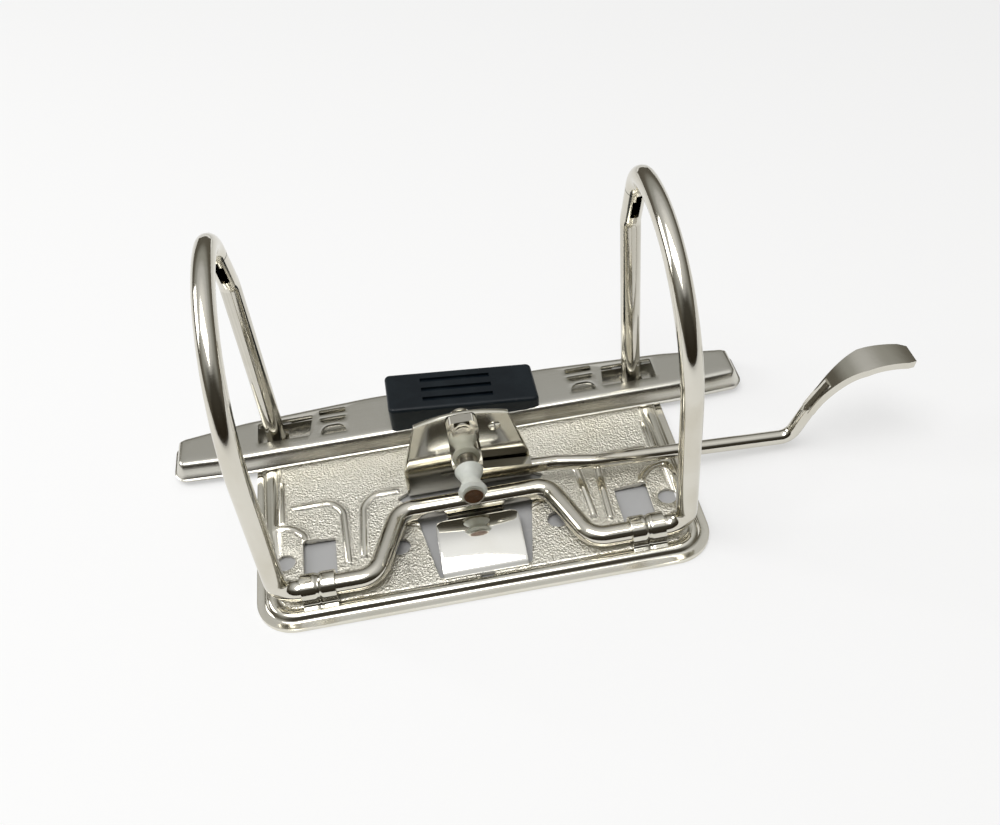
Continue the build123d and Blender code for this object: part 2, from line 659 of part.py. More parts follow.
def grip():
    """Black thumb grip: a wedge that lifts at its thick end, on a lug under the bar's face."""
    x0 = grip_left_x + bar_shift
    x1 = grip_right_x + bar_shift
    z0 = bar_top + seat_gap
    wedge = Polyline((x0, z0), (x1, z0), (x1, z0 + grip_right_h), (x0, z0 + grip_left_h), close=True)
    depth = grip_front + grip_back
    body = Pos(0, post_y + grip_back, 0) * extrude(Plane.XZ * make_face(wedge), depth)
    body = fillet(body.edges().filter_by(Axis.Z), grip_end_r)
    body = fillet(body.faces().sort_by(Axis.Z)[-1].edges(), grip_corner)
    lean = math.degrees(math.atan2(grip_right_h - grip_left_h, x1 - x0))
    mid_x = (x0 + x1) / 2
    mid_z = z0 + (grip_left_h + grip_right_h) / 2
    top = Plane(origin=(mid_x, post_y + (grip_back - grip_front) / 2, mid_z)) * Rot(0, -lean, 0)
    for row in (-1, 0, 1):
        cut = top * Pos(-1.0, row * groove_pitch, 0) * Box(groove_len, groove_w, 2 * groove_depth)
        body -= cut
    x = grip_pin_x + bar_shift
    z = bar_top - grip_pin_drop
    heel = x1 - x + 0.4
    rise = heel * math.tan(math.radians(heel_relief))
    wedge = Polyline((x1 - heel, z0 - 1), (x1 - heel, z0), (x1 + 0.1, z0 + rise),
                     (x1 + 0.1, z0 - 1), close=True)
    body -= Pos(0, post_y + grip_back + 1, 0) * extrude(Plane.XZ * make_face(wedge), depth + 2)
    lug = rod(lug_r, (x, post_y - lug_w / 2, z), (x, post_y + lug_w / 2, z))
    lug += box(x - lug_r, x + lug_r, post_y - lug_w / 2, post_y + lug_w / 2, z, z0 + 0.5)
    lug += box(x - lug_toe_half, x + lug_toe_half, post_y - lug_w / 2, post_y + lug_w / 2,
               z - lug_toe + 0.2, z)
    lug -= rod(grip_pin_r + fit_gap, (x, post_y - lug_w, z), (x, post_y + lug_w, z))
    return body + lug


NODES = {
    "base_plate": base_plate,
    "left_post": lambda: post(-1),
    "right_post": lambda: post(1),
    "arch_wire": arch_wire,
    "lever": lever,
    "pivot_washer": washer,
    "pivot_rivet": pivot_rivet,
    "roller_pin": roller_pin,
    "roller": roller,
    "leaf_spring": leaf_spring,
    "compressor_bar": compressor_bar,
    "locking_slide": locking_slide,
    "grip": grip,
    "grip_pin": grip_pin,
}

for name, make in NODES.items():
    export_step(make(), "parts/" + name + ".step")
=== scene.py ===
# %% [markdown]
# # Lever arch mechanism
# Two wire arches open when a side lever is lifted, and close on two fixed posts.
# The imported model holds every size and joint. This script only gives it its looks:
# stamped, blasted and drawn nickel, a mirror leaf spring, white nylon and black plastic.

# %% load the fixed frame
import bmesh
import bpy
import math
import numpy as np
from mathutils import Matrix, Vector
from mathutils.geometry import delaunay_2d_cdt


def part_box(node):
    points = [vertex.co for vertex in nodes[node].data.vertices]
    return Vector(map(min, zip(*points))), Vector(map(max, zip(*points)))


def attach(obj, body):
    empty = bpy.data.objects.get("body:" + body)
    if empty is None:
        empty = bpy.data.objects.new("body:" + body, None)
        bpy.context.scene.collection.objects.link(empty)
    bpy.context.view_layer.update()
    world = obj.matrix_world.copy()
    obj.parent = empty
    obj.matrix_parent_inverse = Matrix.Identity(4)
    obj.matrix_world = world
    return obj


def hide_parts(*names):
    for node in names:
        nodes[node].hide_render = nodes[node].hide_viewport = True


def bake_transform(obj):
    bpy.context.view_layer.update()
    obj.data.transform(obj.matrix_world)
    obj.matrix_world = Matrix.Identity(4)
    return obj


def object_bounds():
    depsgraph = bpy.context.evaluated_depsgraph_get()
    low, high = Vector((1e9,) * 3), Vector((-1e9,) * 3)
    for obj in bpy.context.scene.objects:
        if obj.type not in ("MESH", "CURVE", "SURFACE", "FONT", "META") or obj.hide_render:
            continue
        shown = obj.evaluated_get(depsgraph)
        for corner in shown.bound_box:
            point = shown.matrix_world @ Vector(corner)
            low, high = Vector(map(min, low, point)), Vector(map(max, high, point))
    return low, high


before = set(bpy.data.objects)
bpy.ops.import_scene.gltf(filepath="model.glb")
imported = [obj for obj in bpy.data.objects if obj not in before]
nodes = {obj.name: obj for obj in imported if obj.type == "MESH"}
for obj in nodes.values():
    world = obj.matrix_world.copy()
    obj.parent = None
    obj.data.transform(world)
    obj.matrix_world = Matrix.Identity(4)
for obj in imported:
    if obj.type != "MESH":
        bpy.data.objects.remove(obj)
cad_low, cad_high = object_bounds()
MM = 0.001
print("CAD box in mm:", [round(v / MM, 1) for v in (*cad_low, *cad_high)])

# %% [markdown]
# ## The camera
# A stamped mechanism is mostly reflections, so the camera comes first: what a bright
# surface shows depends on where it is seen from. A product view from above the front
# edge shows the pan, both arches and the paddle. A matrix built from the viewing
# direction and the picture's own up direction keeps the slight roll of the view.

# %% camera
eye = Vector((-5.106, -164.400, 168.095)) * MM
view_direction = Vector((0.06046, 0.72544, -0.68562)).normalized()
picture_right = Vector((0.98407, -0.15838, -0.08080)).normalized()
picture_up = picture_right.cross(view_direction).normalized()
camera_data = bpy.data.cameras.new("camera")
camera_data.sensor_width = 36.0
camera_data.lens = 39.2
camera_data.clip_start = 0.01
camera = bpy.data.objects.new("camera", camera_data)
bpy.context.scene.collection.objects.link(camera)
turn = Matrix((picture_right, picture_up, -view_direction)).transposed()
camera.matrix_world = Matrix.Translation(eye) @ turn.to_4x4()
bpy.context.scene.camera = camera
print("camera height in mm:", round(eye.z / MM, 1))

# %% [markdown]
# ## Small helpers for node trees
# Every finish below is a node tree. Writing the links as short calls keeps the recipe
# readable: `node` makes a node and sets its inputs, and a tuple as an input's value
# means "take it from this node's output".

# %% node helpers
def node(tree, kind, settings=None, **inputs):
    """Adds a node. Settings are its own properties, inputs are values or (node, output)."""
    made = tree.nodes.new(kind)
    for name, value in (settings or {}).items():
        setattr(made, name, value)
    for name, value in inputs.items():
        key = int(name[1:]) if name[0] == "i" and name[1:].isdigit() else name.replace("_", " ")
        socket = made.inputs[key]
        if isinstance(value, tuple) and isinstance(value[0], bpy.types.Node):
            tree.links.new(value[0].outputs[value[1]], socket)
        else:
            socket.default_value = value
    return made


def ramp(tree, source, stops, ease="LINEAR"):
    """A colour ramp: stops are (place, (r, g, b)) or (place, grey)."""
    made = tree.nodes.new("ShaderNodeValToRGB")
    made.color_ramp.interpolation = ease
    while len(made.color_ramp.elements) < len(stops):
        made.color_ramp.elements.new(0.5)
    for element, (place, colour) in zip(made.color_ramp.elements, stops):
        element.position = place
        rgb = colour if isinstance(colour, tuple) else (colour,) * 3
        element.color = (*rgb, 1.0)
    tree.links.new(source[0].outputs[source[1]], made.inputs[0])
    return made


def math_node(tree, operation, a, b=0.0, clamp=False):
    return node(tree, "ShaderNodeMath", {"operation": operation, "use_clamp": clamp}, i0=a, i1=b)


def new_group(name, inputs, outputs):
    """An empty shader node group with named sockets. Inputs are (name, kind, default)."""
    group = bpy.data.node_groups.new(name, "ShaderNodeTree")
    for label, kind, default in inputs:
        socket = group.interface.new_socket(label, in_out="INPUT", socket_type=kind)
        socket.default_value = default
    for label, kind in outputs:
        group.interface.new_socket(label, in_out="OUTPUT", socket_type=kind)
    return group, group.nodes.new("NodeGroupInput"), group.nodes.new("NodeGroupOutput")


def use_group(tree, group, **inputs):
    made = tree.nodes.new("ShaderNodeGroup")
    made.node_tree = group
    for name, value in inputs.items():
        socket = made.inputs[name.replace("_", " ")]
        if isinstance(value, tuple) and isinstance(value[0], bpy.types.Node):
            tree.links.new(value[0].outputs[value[1]], socket)
        else:
            socket.default_value = value
    return made


FLOAT, COLOUR, VECTOR = "NodeSocketFloat", "NodeSocketColor", "NodeSocketVector"
print("helpers ready")

# %% [markdown]
# ## Shared effects
# Four effects turn up on more than one part, so each is a group made once:
# the pitted grain that a blasted die leaves, the fine lines of drawn or rolled metal,
# the faint stains that handling leaves on plating, and the bright edge where plating
# is rubbed thin, with painted shade that darkens the hollows. Groups give out only
# masks, heights and values. The shader itself stays in each material, where its own
# constants are easy to see.

# %% group: pitted grain
grain_group, g_in, g_out = new_group(
    "pitted_grain",
    [("Scale", FLOAT, 1700.0), ("Softness", FLOAT, 0.35)],
    [("Height", FLOAT), ("Sparkle", FLOAT)])
t = grain_group
place = node(t, "ShaderNodeTexCoord")
fine = node(t, "ShaderNodeTexNoise", {"noise_dimensions": "3D"}, Vector=(place, "Object"),
            Scale=(g_in, "Scale"), Detail=2.0, Roughness=0.55)
half_scale = math_node(t, "MULTIPLY", (g_in, "Scale"), 0.45)
coarse = node(t, "ShaderNodeTexNoise", {"noise_dimensions": "3D"}, Vector=(place, "Object"),
              Scale=(half_scale, 0), Detail=2.0, Roughness=0.5)
pits = node(t, "ShaderNodeTexVoronoi", {"feature": "SMOOTH_F1"}, Vector=(place, "Object"),
            Scale=(half_scale, 0), Smoothness=(g_in, "Softness"))
raised = math_node(t, "ADD", (fine, "Fac"), (coarse, "Fac"))
height = math_node(t, "ADD", (raised, 0), (pits, "Distance"))
spark = ramp(t, (fine, "Fac"), [(0.50, 0.0), (0.68, 1.0)])
t.links.new(height.outputs[0], g_out.inputs["Height"])
t.links.new(spark.outputs["Color"], g_out.inputs["Sparkle"])
print("grain group:", len(t.nodes), "nodes")

# %% group: drawn lines
lines_group, g_in, g_out = new_group(
    "drawn_lines",
    [("Stretch", VECTOR, (60.0, 2500.0, 2500.0))],
    [("Height", FLOAT), ("Streak", FLOAT)])
t = lines_group
place = node(t, "ShaderNodeTexCoord")
scaled = node(t, "ShaderNodeVectorMath", {"operation": "MULTIPLY"},
              i0=(place, "Object"), i1=(g_in, "Stretch"))
lines = node(t, "ShaderNodeTexNoise", {"noise_dimensions": "3D"}, Vector=(scaled, "Vector"),
             Scale=1.0, Detail=3.0, Roughness=0.6)
streak = ramp(t, (lines, "Fac"), [(0.35, 0.0), (0.65, 1.0)])
t.links.new(lines.outputs["Fac"], g_out.inputs["Height"])
t.links.new(streak.outputs["Color"], g_out.inputs["Streak"])
print("line group:", len(t.nodes), "nodes")

# %% group: handling stains
stain_group, g_in, g_out = new_group(
    "handling_stain",
    [("Scale", FLOAT, 90.0), ("Clean", COLOUR, (0.7, 0.7, 0.7, 1.0)),
     ("Stained", COLOUR, (0.5, 0.5, 0.45, 1.0)),
     ("Amount", FLOAT, 0.5)],
    [("Color", COLOUR), ("Mask", FLOAT)])
t = stain_group
place = node(t, "ShaderNodeTexCoord")
cloud = node(t, "ShaderNodeTexNoise", {"noise_dimensions": "3D"}, Vector=(place, "Object"),
             Scale=(g_in, "Scale"), Detail=4.0, Roughness=0.6, Distortion=0.6)
mask = ramp(t, (cloud, "Fac"), [(0.42, 0.0), (0.72, 1.0)])
amount = math_node(t, "MULTIPLY", (mask, "Color"), (g_in, "Amount"))
mixed = node(t, "ShaderNodeMix", {"data_type": "RGBA"},
             i0=(amount, 0), i6=(g_in, "Clean"), i7=(g_in, "Stained"))
t.links.new(mixed.outputs[2], g_out.inputs["Color"])
t.links.new(amount.outputs[0], g_out.inputs["Mask"])
print("stain group:", len(t.nodes), "nodes")

# %% group: rubbed edges and painted hollow shade
edge_wear_and_hollow_shade_group, g_in, g_out = new_group(
    "rubbed_edge_and_hollow_shade",
    [("Sharpness", FLOAT, 0.06)],
    [("Edge", FLOAT), ("Hollow_Shade", FLOAT)])
t = edge_wear_and_hollow_shade_group
shape = node(t, "ShaderNodeNewGeometry")
above = math_node(t, "SUBTRACT", (shape, "Pointiness"), 0.5)
edge = math_node(t, "DIVIDE", (above, 0), (g_in, "Sharpness"), clamp=True)
# painted shade: a mask of the hollows, which darkens the base colour of the nickel
below = math_node(t, "SUBTRACT", 0.5, (shape, "Pointiness"))
hollow_shade_mask = math_node(t, "DIVIDE", (below, 0), (g_in, "Sharpness"), clamp=True)
t.links.new(edge.outputs[0], g_out.inputs["Edge"])
t.links.new(hollow_shade_mask.outputs[0], g_out.inputs["Hollow_Shade"])
print("edge group:", len(t.nodes), "nodes")

# %% [markdown]
# ## Finishes
# Nickel is a slightly yellow metal. The same plating looks different on each part
# because of the steel under it: blasted and pitted on the pan, satin on the bar,
# bright on drawn wire, and like a mirror on the leaf spring. Metallic stays at 1 and
# the parts differ in roughness and bump, which is also how a plater would put it.

# %% a metal finish
def metal(name, clean, stained, roughness, stain_amount=0.4, stain_scale=90.0, specular_tint=None):
    """Starts a plated metal: tint, stains and painted shade in the hollows are set, bump is added by the
    caller.
    """
    material = bpy.data.materials.new(name)
    material.use_nodes = True
    tree = material.node_tree
    shader = tree.nodes["Principled BSDF"]
    shader.inputs["Metallic"].default_value = 1.0
    stain = use_group(tree, stain_group, Scale=stain_scale, Clean=(*clean, 1.0), Stained=(*stained, 1.0),
                      Amount=stain_amount)
    edge = use_group(tree, edge_wear_and_hollow_shade_group, Sharpness=0.05)
    stains_and_hollow_shade = node(tree, "ShaderNodeMix", {"data_type": "RGBA", "blend_type": "MULTIPLY"}, i0=0.35,
                i6=(stain, "Color"))
    # painted shade: hollows darken the base colour down to 0.45
    painted_hollow_shade = ramp(tree, (edge, "Hollow_Shade"), [(0.0, 1.0), (1.0, 0.45)])
    tree.links.new(painted_hollow_shade.outputs["Color"], stains_and_hollow_shade.inputs[7])
    tree.links.new(stains_and_hollow_shade.outputs[2], shader.inputs["Base Color"])
    rough = node(tree, "ShaderNodeMapRange", i0=(stain, "Mask"), i3=roughness, i4=roughness + 0.10)
    tree.links.new(rough.outputs[0], shader.inputs["Roughness"])
    return material, tree, shader


def bump(tree, shader, source, strength, distance):
    made = node(tree, "ShaderNodeBump", Strength=strength, Distance=distance, Height=source)
    tree.links.new(made.outputs[0], shader.inputs["Normal"])
    return made


NICKEL = (0.70, 0.675, 0.60)
NICKEL_STAIN = (0.56, 0.52, 0.42)
print("metal finish ready")

# %% blasted pan, with smooth pressed edges
def blasted_nickel():
    material, tree, shader = metal("blasted_nickel", (0.80, 0.775, 0.69), (0.66, 0.62, 0.50), 0.30,
                                   stain_scale=60.0)
    grain = use_group(tree, grain_group, Scale=4600.0, Softness=0.4)
    pan = node(tree, "ShaderNodeAttribute", {"attribute_name": "grain"})
    height = math_node(tree, "MULTIPLY", (grain, "Height"), (pan, "Fac"))
    bump(tree, shader, (height, 0), 0.95, 0.00020)
    smooth = node(tree, "ShaderNodeMapRange", i0=(pan, "Fac"), i3=0.12, i4=0.30)
    tree.links.new(smooth.outputs[0], shader.inputs["Roughness"])
    return material


def satin_nickel():
    material, tree, shader = metal("satin_nickel", (0.68, 0.665, 0.605), (0.60, 0.57, 0.49), 0.24,
                                   stain_amount=0.35, stain_scale=40.0)
    lines = use_group(tree, lines_group, Stretch=(45.0, 2600.0, 2600.0))
    bump(tree, shader, (lines, "Height"), 0.10, 0.0001)
    return material


def bright_wire():
    material, tree, shader = metal("bright_wire", NICKEL, NICKEL_STAIN, 0.085, stain_amount=0.45)
    lines = use_group(tree, lines_group, Stretch=(420.0, 420.0, 420.0))
    bump(tree, shader, (lines, "Height"), 0.05, 0.0003)
    return material


def polished_sheet():
    material, tree, shader = metal("polished_sheet", (0.70, 0.68, 0.60), (0.52, 0.49, 0.40), 0.09,
                                   stain_amount=0.5, stain_scale=120.0)
    lines = use_group(tree, lines_group, Stretch=(180.0, 180.0, 60.0))
    bump(tree, shader, (lines, "Height"), 0.05, 0.0004)
    return material


def mirror_spring():
    material, tree, shader = metal("mirror_spring", (0.86, 0.85, 0.80), (0.74, 0.71, 0.62), 0.05,
                                   stain_amount=0.3, stain_scale=70.0)
    lines = use_group(tree, lines_group, Stretch=(120.0, 30.0, 120.0))
    bump(tree, shader, (lines, "Height"), 0.04, 0.0004)
    return material


def dull_pin():
    material, tree, shader = metal("dull_pin", (0.52, 0.50, 0.44), (0.40, 0.36, 0.29), 0.32,
                                   stain_amount=0.7, stain_scale=300.0)
    grain = use_group(tree, grain_group, Scale=2600.0, Softness=0.3)
    bump(tree, shader, (grain, "Height"), 0.25, 0.0001)
    return material


print("nickel finishes ready")

# %% brown end of the roller pin
def browned_steel():
    """The cut end of the pin has no plating, and has browned."""
    material, tree, shader = metal("browned_steel", (0.085, 0.042, 0.020), (0.045, 0.026, 0.014), 0.38,
                                   stain_amount=0.9, stain_scale=900.0)
    grain = use_group(tree, grain_group, Scale=2200.0, Softness=0.3)
    bump(tree, shader, (grain, "Height"), 0.5, 0.00015)
    return material


def white_nylon():
    material = bpy.data.materials.new("white_nylon")
    material.use_nodes = True
    tree = material.node_tree
    shader = tree.nodes["Principled BSDF"]
    stain = use_group(tree, stain_group, Scale=260.0, Clean=(0.66, 0.68, 0.63, 1.0),
                      Stained=(0.50, 0.51, 0.46, 1.0), Amount=0.6)
    tree.links.new(stain.outputs["Color"], shader.inputs["Base Color"])
    shader.inputs["Roughness"].default_value = 0.38
    shader.inputs["Subsurface Weight"].default_value = 0.35
    shader.inputs["Subsurface Radius"].default_value = (0.0012, 0.0011, 0.0010)
    shader.inputs["Subsurface Scale"].default_value = 1.0
    shader.inputs["IOR"].default_value = 1.53
    lines = use_group(tree, lines_group, Stretch=(300.0, 4000.0, 300.0))
    bump(tree, shader, (lines, "Height"), 0.08, 0.0002)
    return material


def black_plastic():
    material = bpy.data.materials.new("black_plastic")
    material.use_nodes = True
    tree = material.node_tree
    shader = tree.nodes["Principled BSDF"]
    dust = use_group(tree, stain_group, Scale=150.0, Clean=(0.0022, 0.0055, 0.0090, 1.0),
                     Stained=(0.0065, 0.012, 0.016, 1.0), Amount=0.8)
    edge = use_group(tree, edge_wear_and_hollow_shade_group, Sharpness=0.08)
    rubbed = node(tree, "ShaderNodeMix", {"data_type": "RGBA"}, i0=(edge, "Edge"), i6=(dust, "Color"),
                  i7=(0.014, 0.022, 0.028, 1.0))
    tree.links.new(rubbed.outputs[2], shader.inputs["Base Color"])
    rough = node(tree, "ShaderNodeMapRange", i0=(dust, "Mask"), i3=0.36, i4=0.55)
    tree.links.new(rough.outputs[0], shader.inputs["Roughness"])
    shader.inputs["IOR"].default_value = 1.36
    grain = use_group(tree, grain_group, Scale=3200.0, Softness=0.4)
    bump(tree, shader, (grain, "Height"), 0.18, 0.0001)
    return material


FINISH = {
    "blasted": blasted_nickel(), "satin": satin_nickel(), "wire": bright_wire(),
    "polished": polished_sheet(), "mirror": mirror_spring(), "pin": dull_pin(),
    "brown": browned_steel(), "nylon": white_nylon(), "black": black_plastic()}
print("finishes:", ", ".join(FINISH))

# %% [markdown]
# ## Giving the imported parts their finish
# Turned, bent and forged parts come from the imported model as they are: their shape is
# already right, so only their material slot changes. The thin pressed parts are built
# again further down, where soft rolled edges matter more than exact faces.

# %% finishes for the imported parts
def dress(name, finish):
    part = nodes[name]
    part.data.materials.clear()
    part.data.materials.append(FINISH[finish])
    return part


dress("left_post", "wire")
dress("right_post", "wire")
dress("arch_wire", "wire")
dress("lever", "wire")
dress("pivot_washer", "wire")
dress("pivot_rivet", "wire")
dress("roller_pin", "pin")
dress("roller", "nylon")
dress("locking_slide", "satin")
dress("grip", "black")
dress("grip_pin", "pin")
print("dressed", len(nodes), "packed parts")

# %% [markdown]
# ## Pressed sheet, the general way
# The plate and the bar are thin sheets pressed between dies. A sheet like that is
# easiest to make flat first: triangulate its outline, its holes and the lines where it
# will bend, then lift every point by a height formula, and give the surface its
# thickness last. Lines along each bend keep the reflections on it straight.

# %% flat shapes
def arc(cx, cy, r, start, end, steps):
    """Points of an arc, angles in degrees."""
    turns = np.radians(np.linspace(start, end, steps))
    return [(cx + r * math.cos(a), cy + r * math.sin(a)) for a in turns]


def circle(cx, cy, r, steps=28):
    return arc(cx, cy, r, 0, 360, steps + 1)[:-1]


def rounded_corners(points, r, closed=True, steps=5):
    """The same line of points, with each corner rounded by a short curve."""
    made = []
    count = len(points)
    for i, (x, y) in enumerate(points):
        if not closed and i in (0, count - 1):
            made.append((x, y))
            continue
        here = Vector((x, y))
        back = Vector(points[i - 1]) - here
        ahead = Vector(points[(i + 1) % count]) - here
        cut = min(r, 0.45 * back.length, 0.45 * ahead.length)
        a, b = here + back.normalized() * cut, here + ahead.normalized() * cut
        for k in range(steps + 1):
            s = k / steps
            made.append(tuple(a * (1 - s) ** 2 + here * 2 * s * (1 - s) + b * s * s))
    return made


def offset_loop(loop, inset):
    """A closed counter-clockwise loop, moved inwards."""
    ring = np.array(loop)
    before = ring - np.roll(ring, 1, 0)
    after = np.roll(ring, -1, 0) - ring
    out = []
    for (ax, ay), (bx, by) in zip(before, after):
        n1 = np.array((-ay, ax)) / math.hypot(ax, ay)
        n2 = np.array((-by, bx)) / math.hypot(bx, by)
        half = (n1 + n2) / 2
        out.append(half / max(half @ half, 0.3))
    return [tuple(p) for p in ring + inset * np.array(out)]


def offset_line(line, side):
    """An open line, moved sideways."""
    pts = np.array(line)
    run = np.gradient(pts, axis=0)
    run /= np.linalg.norm(run, axis=1)[:, None]
    return [tuple(p) for p in pts + side * np.stack((-run[:, 1], run[:, 0]), 1)]


def away_from(line, points, closed=False):
    """Distance from each point to a line of points."""
    pts = np.array(line)
    starts = pts if closed else pts[:-1]
    ends = np.roll(pts, -1, 0) if closed else pts[1:]
    best = np.full(len(points), 1e9)
    for a, b in zip(starts, ends):
        run = b - a
        share = np.clip(((points - a) @ run) / max(run @ run, 1e-9), 0, 1)
        gap = np.linalg.norm(points - (a + share[:, None] * run), axis=1)
        best = np.minimum(best, gap)
    return best


def inside(loop, points):
    """True for the points inside a closed loop."""
    ring = np.array(loop)
    hit = np.zeros(len(points), bool)
    for (x0, y0), (x1, y1) in zip(ring, np.roll(ring, -1, 0)):
        crosses = (y0 > points[:, 1]) != (y1 > points[:, 1])
        rise = y1 - y0 if y1 != y0 else 1e-12
        hit ^= crosses & (points[:, 0] < (x1 - x0) * (points[:, 1] - y0) / rise + x0)
    return hit


def soft_step(low, high, value):
    s = np.clip((value - low) / (high - low), 0, 1)
    return s * s * (3 - 2 * s)


print("flat shapes ready")

# %% flat sheet to mesh
def flat_sheet(outline, holes, bend_loops, bend_lines, pitch):
    """Triangles over an outline less its holes, with edges kept along every bend."""
    points, edges = [], []
    lines = [(outline, True)] + [(h, True) for h in holes]
    lines += [(b, True) for b in bend_loops] + [(b, False) for b in bend_lines]
    for line, closed in lines:
        first = len(points)
        points += line
        edges += [(first + i, first + i + 1) for i in range(len(line) - 1)]
        if closed:
            edges.append((first + len(line) - 1, first))
    low, high = np.min(outline, 0), np.max(outline, 0)
    xs = np.arange(low[0] + pitch / 2, high[0], pitch)
    ys = np.arange(low[1] + pitch / 2, high[1], pitch * 0.87)
    rows = [np.stack((xs + (pitch / 2 if k % 2 else 0), np.full(len(xs), y)), 1) for k, y in enumerate(ys)]
    fill = np.concatenate(rows)
    fill = fill[inside(outline, fill)]
    for line, closed in lines:
        fill = fill[away_from(line, fill, closed) > 0.45 * pitch]
    points += [tuple(p) for p in fill]
    found = delaunay_2d_cdt([Vector(p) for p in points], edges, [], 0, 1e-6)
    flat = np.array([tuple(v) for v in found[0]])
    faces = np.array(found[2])
    middles = flat[faces].mean(1)
    keep = inside(outline, middles)
    for hole in holes:
        keep &= ~inside(hole, middles)
    return flat, faces[keep]


def sheet_piece(name, flat, faces, height, thickness, rim):
    """Lifts a flat sheet by its height formula and gives it thickness and soft rims."""
    z = height(flat[:, 0], flat[:, 1])
    corners = np.column_stack((flat, z)) * MM
    mesh = bpy.data.meshes.new(name)
    mesh.from_pydata(corners.tolist(), [], faces.tolist())
    piece = bpy.data.objects.new(name, mesh)
    bpy.context.scene.collection.objects.link(piece)
    return thicken(piece, thickness, rim)


def thicken(piece, thickness, rim, segments=2):
    """Thickness on the far side of the surface, rounded rims, and smooth shading."""
    body = bmesh.new()
    body.from_mesh(piece.data)
    bmesh.ops.delete(body, geom=[v for v in body.verts if not v.link_faces], context="VERTS")
    body.to_mesh(piece.data)
    body.free()
    if thickness:
        solid = piece.modifiers.new("thickness", "SOLIDIFY")
        solid.thickness = thickness * MM
        solid.offset = -1.0
    if rim:
        soft = piece.modifiers.new("rims", "BEVEL")
        soft.width = rim * MM
        soft.segments = segments
        soft.limit_method = "ANGLE"
        soft.angle_limit = math.radians(50)
    return settle(piece)


def settle(piece, sharp=40):
    """Applies the modifiers and shades the result smooth, apart from real edges."""
    view = bpy.context.evaluated_depsgraph_get()
    mesh = bpy.data.meshes.new_from_object(piece.evaluated_get(view))
    piece.modifiers.clear()
    piece.data = mesh
    mesh.polygons.foreach_set("use_smooth", [True] * len(mesh.polygons))
    mesh.set_sharp_from_angle(angle=math.radians(sharp))
    return piece


def finish_piece(piece, finish, body):
    piece.data.materials.clear()
    piece.data.materials.append(FINISH[finish])
    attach(piece, body)
    print(piece.name, len(piece.data.polygons), "faces")
    return piece


print("sheet tools ready")

# %% [markdown]
# ## The base plate
# One stamping: a flat lip, a rounded bead all round, and a blasted pan with ribs
# pressed up to stiffen it. The bead and the ribs stay bright because the die rubs
# them, and only the flat fields keep the grain. The grain is a bump, and a point
# attribute says where it lies, so it fades out exactly where the sheet bends.

# %% base plate sizes
# the outline and the posts come from the frame; the rest repeats the sheet's own sizes
plate_low, plate_high = (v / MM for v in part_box("base_plate"))
right_low, right_high = (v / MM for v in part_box("right_post"))
post_x = (right_low.x + right_high.x) / 2
collar_r = (right_high.x - right_low.x) / 2
post_y = right_high.y - collar_r
hinge_y = post_y - 44.4
hinge_z = 3.6
wire_r = 2.1
mount_x, mount_y = post_x - 0.9, 20.1
sheet = 0.8
lip_top, pan_top, crest_top = sheet, 1.2, 1.8
corner_r = 8.0
bracket_y = post_y - 23.0
print("posts at", round(post_x, 2), round(post_y, 2), "hinge at y", round(hinge_y, 2))

# %% base plate
def plate_inset(points):
    """How far inside the plate's rounded outline each point lies."""
    middle = np.array(((plate_low.x + plate_high.x) / 2, (plate_low.y + plate_high.y) / 2))
    half = np.array(((plate_high.x - plate_low.x) / 2, (plate_high.y - plate_low.y) / 2))
    q = np.abs(points - middle) - (half - corner_r)
    out = np.linalg.norm(np.maximum(q, 0), axis=1) + np.minimum(q.max(1), 0) - corner_r
    return -out


def plate_outline(inset):
    x0, x1 = plate_low.x + inset, plate_high.x - inset
    y0, y1 = plate_low.y + inset, plate_high.y - inset
    r = max(corner_r - inset, 0.4)
    loop = []
    centres = ((x1 - r, y0 + r, -90), (x1 - r, y1 - r, 0), (x0 + r, y1 - r, 90), (x0 + r, y0 + r, 180))
    for cx, cy, start in centres:
        loop += arc(cx, cy, r, start, start + 90, 12)
    return loop


def mirrored(line):
    return [(-x, y) for x, y in line]


top_y, e = post_y - 20.8, -post_x
rib_paths = [rounded_corners(line, r, closed=False) for line, r in (
    ([(e + 2.8, top_y), (e + 10.8, top_y), (e + 13.2, top_y - 3.0), (e + 13.6, top_y - 17.0)], 1.6),
    ([(-15.4, top_y), (-20.4, top_y), (-22.6, top_y - 2.6), (-23.3, top_y - 16.0)], 1.6),
    ([(e + 0.4, post_y - 13.0), (e + 0.4, post_y - 24.6)], 1.0),
    ([(e - 1.4, post_y - 25.4), (e + 2.6, post_y - 26.2), (e + 4.8, post_y - 28.6),
      (e + 5.0, post_y - 30.2)], 2.0),
    ([(-10.9, post_y - 31.2), (-14.8, post_y - 29.6), (-18.2, post_y - 34.4)], 1.6))]
rib_paths += [mirrored(line) for line in rib_paths]
RIB_RISE, RIB_FLAT, RIB_FOOT = 0.55, 0.3, 1.0


def rib_lift(points):
    lift = np.zeros(len(points))
    for path in rib_paths:
        lift = np.maximum(lift, 1 - soft_step(RIB_FLAT, RIB_FOOT, away_from(path, points)))
    return lift


def plate_height(x, y):
    points = np.column_stack((x, y))
    d = plate_inset(points)
    z = lip_top + (crest_top - lip_top) * soft_step(1.5, 2.7, d)
    z -= (crest_top - pan_top) * soft_step(3.4, 4.7, d)
    z = np.maximum(z, np.minimum(z + RIB_RISE * rib_lift(points), crest_top))
    for side in (-1, 1):
        seat = np.linalg.norm(points - (side * post_x, post_y), axis=1)
        z += (pan_top - z) * (1 - soft_step(collar_r + 0.1, collar_r + 0.5, seat))
        for hole_y in (-mount_y, mount_y):
            boss = np.linalg.norm(points - (side * mount_x, hole_y), axis=1)
            z += (lip_top - z) * (1 - soft_step(2.3, 3.4, boss))
    return z


